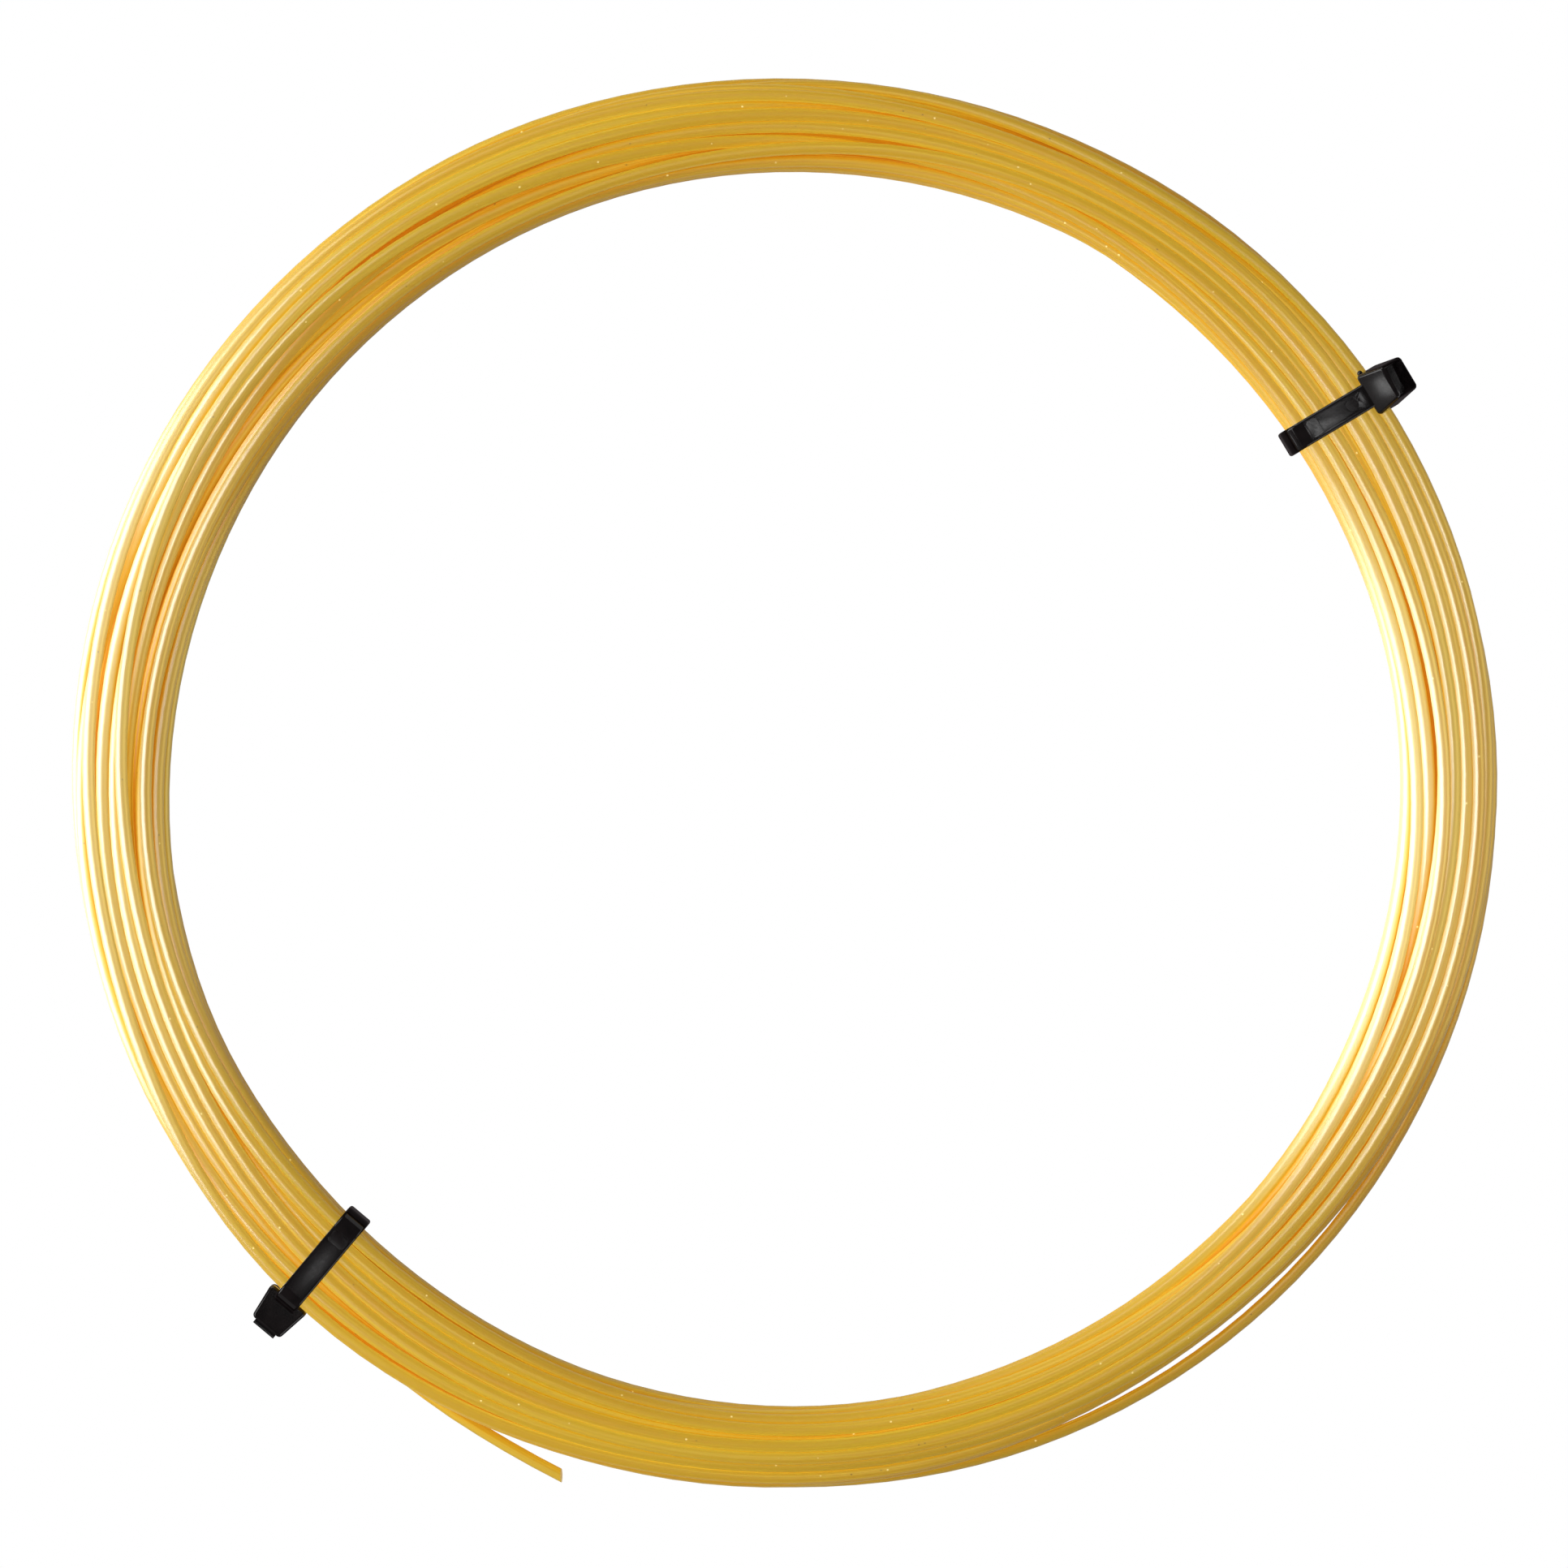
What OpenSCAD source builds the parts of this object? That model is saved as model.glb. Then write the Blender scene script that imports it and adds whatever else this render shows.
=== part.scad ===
// Coil of racket string: one long string wound into a flat ring of piled turns and
// bound by two nylon cable ties. Lengths are in millimetres, +Z is up, the coil lies
// on the plane z = 0 and its centre is on the Z axis.

/* [String] */
// Diameter of the string
string_d = 1.25; // [1.1:0.01:1.35]
// Least clear gap between neighbouring turns
turn_gap = 0.41; // [0.41:0.01:0.55]

/* [Coil] */
// Radius to the middle of the piled turns
coil_r = 66.6; // [52:0.1:80]
// Turns in one layer
layer_turns = 6; // [5:1:6]
// How far the loose outer turn stands out from its neighbours
loose_out = 2.8; // [0:0.1:3]
// Direction in which the loose turn stands out most, degrees
loose_angle = 303; // [290:1:310]
// Angle over which the loose turn leaves the coil and comes back, degrees
loose_span = 104; // [90:1:110]
// Angle from a tie at which the coil has come down to the plane it lies on, degrees
settle_angle = 50; // [40:1:70]

/* [Cable ties] */
// Direction of the right tie seen from the coil's centre, degrees
right_tie_angle = 33.8; // [25:0.1:45]
// Direction of the left tie seen from the coil's centre, degrees
left_tie_angle = 225.8; // [222:0.1:232]
// Lean of the right strap from square to the string, degrees
right_tie_skew = -3; // [-4:0.1:4]
// Lean of the left strap from square to the string, degrees
left_tie_skew = 4.2; // [-4.2:0.1:4.2]
// Angle by which a tie can be pushed along the string either way, degrees
tie_travel = 3; // [1:0.1:3]
// Width of the strap
strap_w = 2.6; // [2.2:0.05:2.8]
// Thickness of the strap
strap_t = 1; // [0.8:0.05:1.2]
// Clearance between the strap and the string
tie_clear = 0.15; // [0.1:0.01:0.25]
// Inside radius of the strap at a corner filled by a turn
tight_corner_r = 0.9; // [0.7:0.05:0.95]
// Inside radius of the strap at a corner where the end turn stands back
open_corner_r = 1.8; // [1.2:0.05:1.9]
// Length of cut strap that stands out of the left head
left_stub = 0.56; // [0:0.01:2]
// Depth of the cut strap end below the mouth of the right head
right_end_depth = 0.5; // [0.2:0.05:0.6]
// Diameter of the ejector mark on the right strap
mark_d = 1.4; // [0.8:0.1:1.8]
// Depth of the ejector mark
mark_depth = 0.08; // [0.02:0.01:0.2]
// Distance of the ejector mark outwards from the middle of the strap
mark_out = 1.6; // [0:0.1:1.8]

/* [Cable tie heads] */
// Width of a head where the strap enters it
head_w = 4.55; // [4.2:0.05:5.5]
// Width of a head where the strap leaves it
head_tip_w = 3.7; // [3.6:0.05:4.1]
// Length of a head along the strap that runs through it
head_l = 3.75; // [3.6:0.05:4.5]
// Height of a head across the strap that runs through it
head_h = 3.4; // [3.3:0.05:4]
// Wall of a head above and below its channel
head_wall = 0.5; // [0.4:0.05:0.6]
// Rounding of the head's corners
head_round = 0.45; // [0.2:0.05:0.5]
// Turn of the right head: its channel points this much up from outwards, degrees
right_head_roll = 45; // [40:1:50]
// Clearance round the strap in the head's channel
channel_clear = 0.05; // [0.03:0.01:0.08]

/* [Pawls] */
// Width of a pawl
pawl_w = 2.1; // [1.6:0.05:2.2]
// Length of a pawl from its hinge to its tip
pawl_l = 2.15; // [2:0.05:2.3]
// Thickness of a pawl
pawl_t = 0.56; // [0.45:0.01:0.65]
// Distance from the head's mouth to the pawl's hinge
hinge_back = 0.9; // [0.85:0.01:1]
// Clearance between the pawl's knuckle and its seat in the head
hinge_clear = 0.04; // [0.02:0.01:0.08]
// Clearance between the pawl's knuckle and the strap
knuckle_clear = 0.12; // [0.1:0.01:0.16]
// Clearance between the pawl's underside and the strap
pawl_clear = 0.07; // [0.05:0.01:0.08]
// Plain length of the pawl past its last tooth
pawl_nose = 0.1; // [0.05:0.01:0.15]
// Distance from one tooth to the next
tooth_pitch = 0.5; // [0.4:0.05:0.55]
// Depth of the teeth in the strap
tooth_depth = 0.28; // [0.2:0.02:0.3]
// Clearance between the pawl's teeth and the strap's
tooth_clear = 0.05; // [0.04:0.01:0.08]

/* [Hidden] */

STRING_COLOUR = [0.84, 0.64, 0.16];
TIE_COLOUR = [0.04, 0.04, 0.045];
ROUND = 48;
HULL_ROUND = 24;
// How far a cutting shape runs past what it cuts
PAST = 1;
LAYERS = 4;

// The coil's tube: rings of six points, with a point straight up and one straight down
RING_SIDES = 6;
RINGS_A = 10;
RINGS_B = 12;
RING_STEP = 15;
ring_flat = string_d * cos(30);
turn_pitch = ring_flat + turn_gap;
layer_rise = string_d + turn_gap;
base_cut = string_d / 10;
half_turns = layer_turns / 2;

// Angles from the left tie on to the right tie, and from there back to the left tie
span_a = right_tie_angle + 360 - left_tie_angle;
span_b = 360 - span_a;
// The turns start and end inside the left tie; the spiral reverses midway between the ties
first_turn = span_b / 2 / 360;
coil_turns = LAYERS * layer_turns - 1;
// Straight runs between rings keep the true mean radius of the ring
chord_in = cos(RING_STEP / 2);
chord_fit = 2 / (1 + chord_in);

// Height of the strap's inner face above the plane, and of the lowest turn in a tie
tie_lift = strap_t + tie_clear + base_cut;

// Half width of the bundle where the ties are, and how far round it a strap's edge can come
tie_half = (half_turns - first_turn) * turn_pitch + ring_flat / 2;
TRAVEL_SPARE = 0.5;
tie_reach = tie_travel + atan(strap_w / 2 / coil_r) + TRAVEL_SPARE;
// Room for the strap's lean, then the radii of its inner and outer uprights
skew_room = strap_w / 2 * tan(max(abs(right_tie_skew), abs(left_tie_skew)));
tie_inner_r = (coil_r - tie_half) * chord_fit * chord_in - tie_clear - skew_room;
tie_outer_r = (coil_r + tie_half) * chord_fit * chord_in / cos(tie_reach) + tie_clear + skew_room;
// Half width of a strap's inside, the radius to its middle, and its inside height
band_a = (tie_outer_r - tie_inner_r) / 2;
band_r = (tie_outer_r + tie_inner_r) / 2;
band_h = (LAYERS - 1) * layer_rise + string_d + 2 * tie_clear;
band_top = strap_t + band_h;
// The strap's outer face turns a corner more gently than its inner one
OUTER_ROUND = 1.5;
outer_corner_r = tight_corner_r + OUTER_ROUND * strap_t;

// The head's own axes: s runs along its channel and t across it, towards the strap's root
half_h = head_h / 2;
strap_lo = -half_h + head_wall + channel_clear;
strap_hi = strap_lo + strap_t;
channel_w = strap_w + 2 * channel_clear;
bend_r = head_wall / 2 + channel_clear;
lip_t = -half_h + head_wall / 2;
// The pawl's knuckle, its place across the head, and the pawl's underside
knuckle_r = pawl_t / 2;
knuckle_t = strap_hi + knuckle_clear + knuckle_r;
pawl_under = strap_hi + pawl_clear;

// The tail runs straight for two steps, then along a hand-chosen route: each point is
// [degrees past the left tie, distance outwards from the middle of the coil, height]
TAIL_SIDES = 8;
TAIL_STEP = 2 * string_d;
TAIL_ROUTE = [
    [9, 3.85, 1.6],
    [11.5, 4.15, 1.45],
    [14, 4.45, 1.3],
    [16.5, 4.8, 1.15],
    [19, 5.15, 1.0],
    [21.5, 5.55, 0.85],
    [24, 6.0, 0.72],
    [26.3, 6.45, 0.63]
];

// A smooth fall from 1 to 0 as x goes from 0 to 1
function fall(x) = (1 + cos(180 * min(1, max(0, x)))) / 2;

// Angle from direction a to the nearest tie
function apart(a, b) = abs((a - b) % 360 > 180 ? (a - b) % 360 - 360 : (a - b) % 360);
function to_tie(a) = min(apart(a + 720, left_tie_angle), apart(a + 720, right_tie_angle));

// Height of the coil over the plane, carried by the straps where it passes through the ties
function lift(a) =
    tie_lift * fall((to_tie(a) - RING_STEP / 2) / (settle_angle - RING_STEP / 2));

// Turns wound so far at ring angle w, counted from the first reversal of the spiral
function turns_at(w) = w / 360 + first_turn;

// The spiral runs in and out at a steady rate
function spiral(s) = abs((s % (2 * layer_turns)) - layer_turns) - half_turns;

// Layers come down by one in the half turn round each reversal
function drop(s) =
    [for (k = [1:LAYERS - 1]) min(1, max(0, (s - layer_turns * k) * 2 + 0.5))];
function sum(v, i = 0) = i < len(v) ? v[i] + sum(v, i + 1) : 0;
function level(s) = LAYERS - 1 - sum(drop(s));

// How far the last turn stands out of the coil at ring angle w
function loose(w) =
    w < 360 * (coil_turns - 1) ? 0
    : loose_out * fall(abs(w - 360 * (coil_turns - 1) + left_tie_angle - loose_angle)
        / (loose_span / 2));

// Radius and height of the string's centre at ring angle w
function turn_r(w) = (coil_r + turn_pitch * spiral(turns_at(w)) + loose(w)) * chord_fit;
function turn_z(w) =
    string_d / 2 - base_cut + layer_rise * level(turns_at(w)) + lift(left_tie_angle + w);

// Ring angles of one turn: the straight runs under both ties are centred on them
half_step = RING_STEP / 2;
turn_rings = concat(
    [for (k = [0:RINGS_A]) half_step + k * (span_a - RING_STEP) / RINGS_A],
    [for (k = [0:RINGS_B]) span_a + half_step + k * (span_b - RING_STEP) / RINGS_B]
);
// Each ring is [angle, radius, height]; the first and last close the tube inside the left tie
function end_ring(w) = [w, turn_r(w) * chord_in, turn_z(w)];
coil_rings = concat(
    [end_ring(0)],
    [for (t = [0:coil_turns - 1]) for (a = turn_rings) [360 * t + a, turn_r(360 * t + a),
        turn_z(360 * t + a)]],
    [end_ring(360 * coil_turns)]
);

// The six points of a coil ring, in its own upright plane: [outwards, up]
function hexagon(r, z) =
    [for (k = [0:RING_SIDES - 1]) [r + string_d / 2 * cos(30 + 60 * k),
        z + string_d / 2 * sin(30 + 60 * k)]];
function ring_points(ring) =
    [for (q = hexagon(ring[1], ring[2])) [q[0] * cos(left_tie_angle + ring[0]),
        q[0] * sin(left_tie_angle + ring[0]), q[1]]];

// Triangles of a tube of n-sided rings, closed at both ends
function tube_faces(rings, n) = concat(
    [for (k = [1:n - 2]) [0, k, k + 1]],
    [for (i = [0:rings - 2]) for (k = [0:n - 1]) [n * i + k, n * (i + 1) + k,
        n * i + (k + 1) % n]],
    [for (i = [0:rings - 2]) for (k = [0:n - 1]) [n * i + (k + 1) % n, n * (i + 1) + k,
        n * (i + 1) + (k + 1) % n]],
    [for (k = [1:n - 2]) let (m = n * (rings - 1)) [m, m + k + 1, m + k]]
);

// Distance from point p to the edge from a to b
function to_edge(p, a, b) =
    norm(p - a - (b - a) * min(1, max(0, (p - a) * (b - a) / ((b - a) * (b - a)))));
function least_of(p, q) =
    min([for (v = p) for (k = [0:RING_SIDES - 1]) to_edge(v, q[k], q[(k + 1) % RING_SIDES])]);

// Least gap between turns, measured from every ring's points to the rings of the turns
// beside it in the same upright plane, and drawn in for the straight runs between rings
STATIONS = len(turn_rings);
NEAR = 2.5 * string_d;
function ring_gap(p, q) = min(least_of(p, q), least_of(q, p));
function coil_gap() = chord_in * min([
    for (i = [1:len(coil_rings) - 2])
        for (j = [i + STATIONS:STATIONS:len(coil_rings) - 2])
            let (a = [coil_rings[i][1], coil_rings[i][2]], b = [coil_rings[j][1], coil_rings[j][2]])
                if (norm(a - b) < NEAR) ring_gap(hexagon(a[0], a[1]), hexagon(b[0], b[1]))
]);

// The whole coil, cut flat where it lies on the plane
module string_coil() {
    echo(coil_turns = coil_turns, least_gap_between_turns = coil_gap());
    color(STRING_COLOUR)
        difference() {
            polyhedron(
                points = [for (ring = coil_rings) each ring_points(ring)],
                faces = tube_faces(len(coil_rings), RING_SIDES)
            );
            translate([0, 0, -string_d])
                cylinder(r = 2 * coil_r, h = string_d, $fn = ROUND);
        }
}

// The tail starts where the coil's tube ends, inside the left tie
tail_from = [
    turn_r(360 * coil_turns) * chord_in * cos(left_tie_angle),
    turn_r(360 * coil_turns) * chord_in * sin(left_tie_angle),
    turn_z(360 * coil_turns)
];
tail_way = [-sin(left_tie_angle), cos(left_tie_angle), 0];
function route_point(q) =
    [(coil_r + q[1]) * cos(left_tie_angle + q[0]), (coil_r + q[1]) * sin(left_tie_angle + q[0]), q[2]];
tail_points = concat(
    [for (k = [0:2]) tail_from + k * TAIL_STEP * tail_way],
    [for (q = TAIL_ROUTE) route_point(q)]
);

// Direction of the tail at point i
function unit(v) = v / norm(v);
function tail_dir(i) =
    i == 0 ? tail_way
    : i == len(tail_points) - 1 ? unit(tail_points[i] - tail_points[i - 1])
    : unit(unit(tail_points[i + 1] - tail_points[i]) + unit(tail_points[i] - tail_points[i - 1]));
function tail_ring(i) =
    let (side = unit(cross(tail_dir(i), [0, 0, 1])), up = cross(side, tail_dir(i)))
        [for (k = [0:TAIL_SIDES - 1]) let (a = 360 * (k + 0.5) / TAIL_SIDES)
            tail_points[i] + string_d / 2 * (cos(a) * side + sin(a) * up)];

module string_tail() {
    color(STRING_COLOUR)
        polyhedron(
            points = [for (i = [0:len(tail_points) - 1]) each tail_ring(i)],
            faces = [for (f = tube_faces(len(tail_points), TAIL_SIDES)) [f[2], f[1], f[0]]]
        );
}

// Puts a profile drawn in x outwards and y up into a tie's upright plane
module in_tie(angle, skew) {
    rotate([0, 0, angle])
        translate([band_r, 0, 0])
            rotate([0, 0, skew])
                rotate([90, 0, 0])
                    children();
}

// Where a head sits on the strap's inside: the left one midway up the outer side,
// the right one on the open corner. Each is [x, y, roll].
corner_back = open_corner_r * (1 - cos(right_head_roll));
corner_down = open_corner_r * (1 - sin(right_head_roll));
right_seat = [band_a - corner_back, band_top - corner_down, right_head_roll];
left_seat = [band_a, strap_t + band_h / 2, 0];

// From a tie's plane to a head's own axes and back
module on_seat(seat) {
    translate([seat[0], seat[1]])
        rotate([0, 0, seat[2]])
            children();
}

// The lip round which the strap bends into the channel, in the tie's plane and along s
function lip_x() = band_a + strap_t + bend_r;
function lip_y(seat) =
    seat[1] + (lip_t + (lip_x() - seat[0]) * sin(seat[2])) / cos(seat[2]);
function lip_s(seat) =
    (lip_x() - seat[0]) * cos(seat[2]) + (lip_y(seat) - seat[1]) * sin(seat[2]);

// Points of an arc from angle a0 to a1
ARC_STEPS = 10;
function arc(c, r, a0, a1) =
    [for (k = [0:ARC_STEPS]) let (a = a0 + (a1 - a0) * k / ARC_STEPS)
        [c[0] + r * cos(a), c[1] + r * sin(a)]];

// A point of a head's own axes, s along its channel and t across it, in the tie's plane
function seat_point(seat, s, t) =
    [seat[0] + s * cos(seat[2]) - t * sin(seat[2]), seat[1] + s * sin(seat[2]) + t * cos(seat[2])];

function reverse(v) = [for (i = [len(v) - 1:-1:0]) v[i]];

// One face of the strap from inside the head over the top and down its far side; grow is
// 0 for the inner face and the strap's thickness for the outer one
root_t = -half_h / 2;
halfway = strap_t + band_h / 2;
function root_side(seat, grow, head_r, corner_r) = concat(
    [seat_point(seat, grow, root_t)],
    arc([band_a + grow - head_r, band_top + grow - head_r], head_r, seat[2], 90),
    arc([-band_a - grow + corner_r, band_top + grow - corner_r], corner_r, 90, 180),
    [[-band_a - grow, halfway - strap_t]]
);

// One face of the strap from halfway down its far side under the bundle, up to the lip,
// round it and through the head
function low_side(seat, grow, corner_r, reach) = concat(
    [[-band_a - grow, halfway]],
    arc([-band_a - grow + corner_r, strap_t - grow + corner_r], corner_r, 180, 270),
    arc([band_a + grow - corner_r, strap_t - grow + corner_r], corner_r, 270, 360),
    [for (q = arc([lip_s(seat), lip_t], bend_r + strap_t - grow, 180 - seat[2], 90))
        seat_point(seat, q[0], q[1])],
    [seat_point(seat, reach, strap_hi - grow)]
);

// The strap's outline seen along the string
module strap_profile(seat, head_r, reach) {
    difference() {
        polygon(concat(
            root_side(seat, 0, head_r, tight_corner_r),
            reverse(root_side(seat, strap_t, head_r + strap_t, outer_corner_r))
        ));
        on_seat(seat)
            translate([0, -half_h])
                square([head_l, head_h]);
    }
    difference() {
        polygon(concat(
            low_side(seat, 0, tight_corner_r, reach),
            reverse(low_side(seat, strap_t, outer_corner_r, reach))
        ));
        on_seat(seat)
            teeth(tooth_depth, 0);
    }
}

// First tooth's place along the channel, and how many teeth the pawl has
PAWL_TEETH = 2;
teeth_from = hinge_back + pawl_l - pawl_nose - PAWL_TEETH * tooth_pitch;
// The steep side of a tooth leans by this share of its depth
TOOTH_LEAN = 0.3;

// A row of ratchet teeth: a long slope, then a steep side that leans outwards
module teeth(depth, clear) {
    for (k = [0:PAWL_TEETH - 1])
        translate([teeth_from + k * tooth_pitch, strap_hi])
            polygon([
                [0, 2 * clear],
                [tooth_pitch - TOOTH_LEAN * depth - clear, clear - depth],
                [tooth_pitch - clear, 2 * clear]
            ]);
}

// A whole strap as one solid
module strap(angle, skew, seat, head_r, reach) {
    in_tie(angle, skew)
        linear_extrude(height = strap_w, center = true, convexity = 6)
            strap_profile(seat, head_r, reach);
}

// Outline of a head seen across its channel: wide at the entry, narrower at the far end
module head_outline() {
    r = head_round;
    hull() {
        translate([r, head_w / 2 - r])
            circle(r = r, $fn = HULL_ROUND);
        translate([r, -head_w / 2 + r])
            circle(r = r, $fn = HULL_ROUND);
        translate([head_l - r, head_tip_w / 2 - r])
            circle(r = r, $fn = HULL_ROUND);
        translate([head_l - r, -head_tip_w / 2 + r])
            circle(r = r, $fn = HULL_ROUND);
    }
}

module head(angle, skew, seat) {
    s0 = lip_s(seat);
    in_tie(angle, skew)
        on_seat(seat)
            difference() {
                rotate([90, 0, 0])
                    linear_extrude(height = head_h, center = true)
                        head_outline();
                // channel for the strap, open where the strap bends in
                translate([-PAST, strap_lo - channel_clear, -channel_w / 2])
                    cube([head_l + 2 * PAST, strap_t + 2 * channel_clear, channel_w]);
                translate([-PAST, -half_h - PAST, -channel_w / 2])
                    cube([PAST + s0, PAST + head_wall + strap_t, channel_w]);
                // room for the pawl, open at the far end
                translate([hinge_back, strap_lo, -channel_w / 2])
                    cube([head_l, half_h - head_wall - strap_lo, channel_w]);
                // seat of the pawl's knuckle
                translate([hinge_back, knuckle_t, 0])
                    cylinder(r = knuckle_r + hinge_clear, h = channel_w, center = true, $fn = ROUND);
            }
}

// Rounded end of the lower wall, where the strap bends in, let into the walls beside it
module head_with_lip(angle, skew, seat) {
    head(angle, skew, seat);
    in_tie(angle, skew)
        on_seat(seat)
            translate([lip_s(seat), lip_t, 0])
                cylinder(r = head_wall / 2, h = channel_w + head_wall, center = true, $fn = ROUND);
}

module pawl(angle, skew, seat) {
    in_tie(angle, skew)
        on_seat(seat)
            linear_extrude(height = pawl_w, center = true) {
                translate([hinge_back, knuckle_t])
                    circle(r = knuckle_r, $fn = ROUND);
                polygon([
                    [hinge_back, knuckle_t - knuckle_r],
                    [hinge_back + knuckle_r, pawl_under],
                    [hinge_back + pawl_l, pawl_under],
                    [hinge_back + pawl_l, pawl_under + pawl_t],
                    [hinge_back, knuckle_t + knuckle_r]
                ]);
                teeth(tooth_depth, tooth_clear);
            }
}

module right_tie_strap() {
    color(TIE_COLOUR)
        difference() {
            strap(right_tie_angle, right_tie_skew, right_seat, open_corner_r,
                head_l - right_end_depth);
            in_tie(right_tie_angle, right_tie_skew)
                translate([mark_out, band_top + strap_t - mark_depth, 0])
                    rotate([-90, 0, 0])
                        cylinder(d = mark_d, h = strap_t, $fn = ROUND);
        }
}

module right_tie_head() {
    color(TIE_COLOUR)
        head_with_lip(right_tie_angle, right_tie_skew, right_seat);
}

module right_tie_pawl() {
    color(TIE_COLOUR)
        pawl(right_tie_angle, right_tie_skew, right_seat);
}

module left_tie_strap() {
    color(TIE_COLOUR)
        strap(left_tie_angle, left_tie_skew, left_seat, tight_corner_r, head_l + left_stub);
}

module left_tie_head() {
    color(TIE_COLOUR)
        head_with_lip(left_tie_angle, left_tie_skew, left_seat);
}

module left_tie_pawl() {
    color(TIE_COLOUR)
        pawl(left_tie_angle, left_tie_skew, left_seat);
}

string_coil();
string_tail();
right_tie_strap();
right_tie_head();
right_tie_pawl();
left_tie_strap();
left_tie_head();
left_tie_pawl();
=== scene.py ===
"""A coil of amber racket string, held together by two black cable ties."""

import bmesh
import bpy
import numpy as np
from mathutils import Matrix, Vector


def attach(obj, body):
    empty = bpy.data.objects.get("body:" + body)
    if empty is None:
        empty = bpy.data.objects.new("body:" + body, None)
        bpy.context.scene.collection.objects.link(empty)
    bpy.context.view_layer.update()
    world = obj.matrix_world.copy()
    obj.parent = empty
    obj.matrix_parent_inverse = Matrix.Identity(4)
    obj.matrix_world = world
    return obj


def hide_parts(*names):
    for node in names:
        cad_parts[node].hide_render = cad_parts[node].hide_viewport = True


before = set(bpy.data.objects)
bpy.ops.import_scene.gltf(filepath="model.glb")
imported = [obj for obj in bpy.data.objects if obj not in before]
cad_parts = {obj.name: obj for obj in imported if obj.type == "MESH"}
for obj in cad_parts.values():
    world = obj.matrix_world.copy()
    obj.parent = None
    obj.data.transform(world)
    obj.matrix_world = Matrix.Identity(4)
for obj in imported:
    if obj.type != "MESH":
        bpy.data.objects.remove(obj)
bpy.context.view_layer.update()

MM = 0.001

# ---- The view: straight down, from far enough that the coil shows no perspective ----
FRAME_WIDTH = 157.07 * MM
FRAME_CENTRE = (-0.08 * MM, 0.0)
CAMERA_HEIGHT = 0.95
COIL_MIDDLE = 4 * MM
SENSOR = 36.0

# ---- The string, in millimetres and degrees ----
STRING_D = 1.25
TURNS = 29
STATIONS = 144
TUBE_SIDES = 16
LEFT_TIE = 225.8
RIGHT_TIE = 33.8

# The space inside a tie's band
BAND_INSIDE = (61.47, 71.39)
BAND_FLOOR = 1.02
BAND_TOP = 7.53
BAND_GAP = 0.03

# Where the bundle lies between the ties: angle, inner radius, outer radius
BUNDLE = [
    (0, 61.8, 71.55),
    (35, 62.0, 71.3),
    (60, 62.0, 70.9),
    (90, 61.5, 70.8),
    (120, 61.15, 71.4),
    (155, 61.1, 71.8),
    (180, 61.6, 71.7),
    (210, 62.3, 71.0),
    (226, 62.2, 71.1),
    (250, 62.1, 70.65),
    (280, 62.6, 70.6),
    (291, 62.5, 70.1),
    (303, 62.4, 69.35),
    (316, 62.3, 69.8),
    (328, 62.2, 70.5),
    (343, 62.0, 71.3),
]

# The last turn bows out past the others: degrees past the left tie, radius
LOOSE_TURN = [
    (0, 69.6),
    (30, 69.8),
    (50, 70.2),
    (64, 70.7),
    (76, 70.93),
    (90, 71.07),
    (120, 71.05),
    (134, 70.9),
    (170, 70.6),
]

# The free end, as the source lays it: first straight out of the left tie, then on the floor
TAIL_START = [(-48.5802, -49.9561, 1.775), (-46.7879, -51.699, 1.775), (-44.9956, -53.4419, 1.775)]
COIL_R = 66.6
TAIL_ROUTE = [  # degrees past the left tie, distance outwards from COIL_R, height
    (9, 3.85, 1.6),
    (11.5, 4.15, 1.45),
    (14, 4.45, 1.3),
    (16.5, 4.8, 1.15),
    (19, 5.15, 1.0),
    (21.5, 5.55, 0.85),
    (24, 6.0, 0.72),
    (26.3, 6.45, 0.63),
]

# The way the string's cut end faces, and how far its shading is evened out
CUT_FACING = (1.0, 0.0, 0.15)
EVENNESS = 0.76

# ---- The ties: angle on the coil, skew, and the head's place and roll in the tie's plane ----
BAND_R = sum(BAND_INSIDE) / 2
STRAP_TOP = BAND_TOP + 1.0
TIES = {
    "right": (RIGHT_TIE, -3.0, (4.43475, 7.00279, 45.0)),
    "left": (LEFT_TIE, 4.2, (4.96196, 4.265, 0.0)),
}

# How far their edges are eased, and which of a strap's edges are: long ones, clear of its head
STRAP_EDGE = 0.26
HEAD_EDGE = 0.34
RIM_EDGE = 0.13
LONG_ENOUGH = 0.12
HEAD_REACH = (-0.1, 1.75)

# Their moulding marks: a pad and a disc on the strap (start, end, half width), and a knob beside the head
PAD = (-3.4, -2.1, 0.95)
PAD_HEIGHT = 0.07
PAD_CORNER = 0.35
PAD_EDGE = 0.05
MARK = (0.95, 2.25, 0.65)
MARK_HEIGHT = 0.04
MARK_CORNER = 0.63
MARK_EDGE = 0.03
SUNK = 0.2
KNOB_D = 0.62
KNOB_SQUASH = 0.8
KNOB_AT = (0.35, 1.1, -2.3)

# Clean copies of the solids: points closer than this in metres are one, and degrees at which edges count
SAME_POINT = 2e-6
FLAT = 0.6
SHARP = 35
SHADED_SHARP = 50

# ---- The studio ----
FLOOR_HALF = 2.5
FLOOR_GLOW = 0.36
WORLD_GLOW = 0.1
LAMP_LIFT = 0.3 * MM


# ---- Helpers ----
def fall(x):
    """1 at 0 and below, 0 at 1 and above, with an eased way down."""
    return (1 + np.cos(np.pi * np.clip(x, 0, 1))) / 2


def from_tie(degrees):
    """Degrees to the nearer tie."""
    gaps = [np.abs((degrees - tie + 180) % 360 - 180) for tie in (LEFT_TIE, RIGHT_TIE)]
    return np.minimum(*gaps)


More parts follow.
